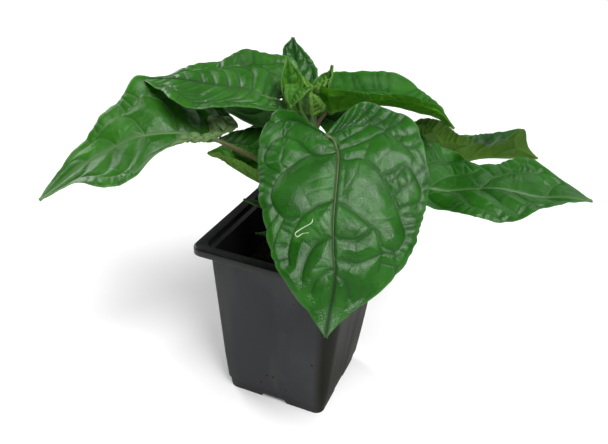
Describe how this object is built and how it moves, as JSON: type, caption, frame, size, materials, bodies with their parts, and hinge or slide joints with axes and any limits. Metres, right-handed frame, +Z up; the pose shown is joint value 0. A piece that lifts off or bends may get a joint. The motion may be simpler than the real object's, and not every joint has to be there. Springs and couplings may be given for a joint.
{
  "type": "potted chilli pepper plant",
  "caption": "Young leafy pepper plant on one upright stem, with broad pointed leaves, standing in soil in a square tapered plastic nursery pot with a flat rim.",
  "frame": {"origin": "centre of the pot's flat foot, on the ground", "axes": "+Z up; the pot's sides face along X and Y, and its front side faces -Y; the plant is turned 20.65 degrees about +Z in its pot"},
  "size_m": [0.244, 0.1876, 0.1952],
  "materials": {
    "pot_plastic": "charcoal moulded plastic, satin, with a soft sheen on the rim and faint soil marks",
    "peat": "dark damp peat, crumbly and matte",
    "stem": "green stem, smooth, faintly ridged, slightly glossy",
    "leaf": "deep green leaf, satin gloss, quilted between sunken veins, paler beneath",
    "young_leaf": "light yellow-green young leaf, soft gloss"
  },
  "bodies": {
    "root": {"pot": "pot_plastic", "soil": "peat", "main_stem": "stem", "shoot_tip": "young_leaf", "leaf_front": "leaf", "leaf_left_low": "leaf", "leaf_left_top": "leaf", "leaf_top_young": "young_leaf", "leaf_right_top": "leaf", "leaf_right_back": "leaf", "leaf_right_low": "leaf", "leaf_left_small": "leaf", "leaf_left_inner": "leaf", "leaf_back_left": "leaf", "leaf_back": "leaf", "leaf_tip_left": "young_leaf", "leaf_tip_heart": "young_leaf", "leaf_tip_front": "young_leaf", "leaf_tip_right": "young_leaf", "leaf_low_upper": "young_leaf", "leaf_low_lower": "young_leaf"}
  },
  "joints": []
}
